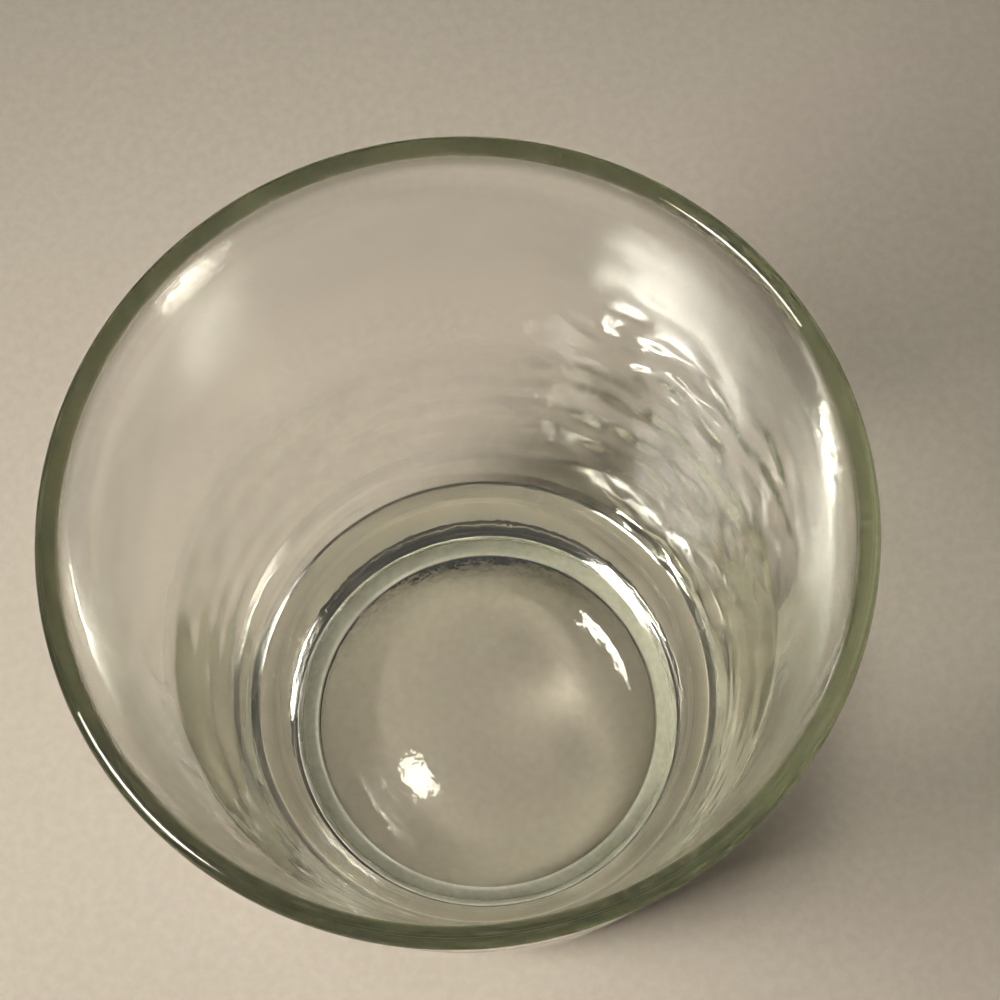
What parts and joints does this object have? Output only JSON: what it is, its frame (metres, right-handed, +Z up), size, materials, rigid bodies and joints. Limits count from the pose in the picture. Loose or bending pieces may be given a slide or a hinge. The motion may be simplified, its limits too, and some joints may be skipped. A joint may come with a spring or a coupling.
{
  "type": "whisky glass",
  "caption": "Clear whisky tumbler with a round tapered wall, rounded rim, heavy rounded base and pushed-up underside, open at the top for a drink.",
  "frame": {"origin": "centre of the standing ring, on the plane that the glass stands on", "axes": "+Z up along the turning axis, X and Y any square pair across it"},
  "size_m": [0.08, 0.08, 0.099],
  "materials": {
    "clear_glass": "fire-polished clear glass with a faint green cast"
  },
  "bodies": {
    "root": {"tumbler": "clear_glass"}
  },
  "joints": []
}
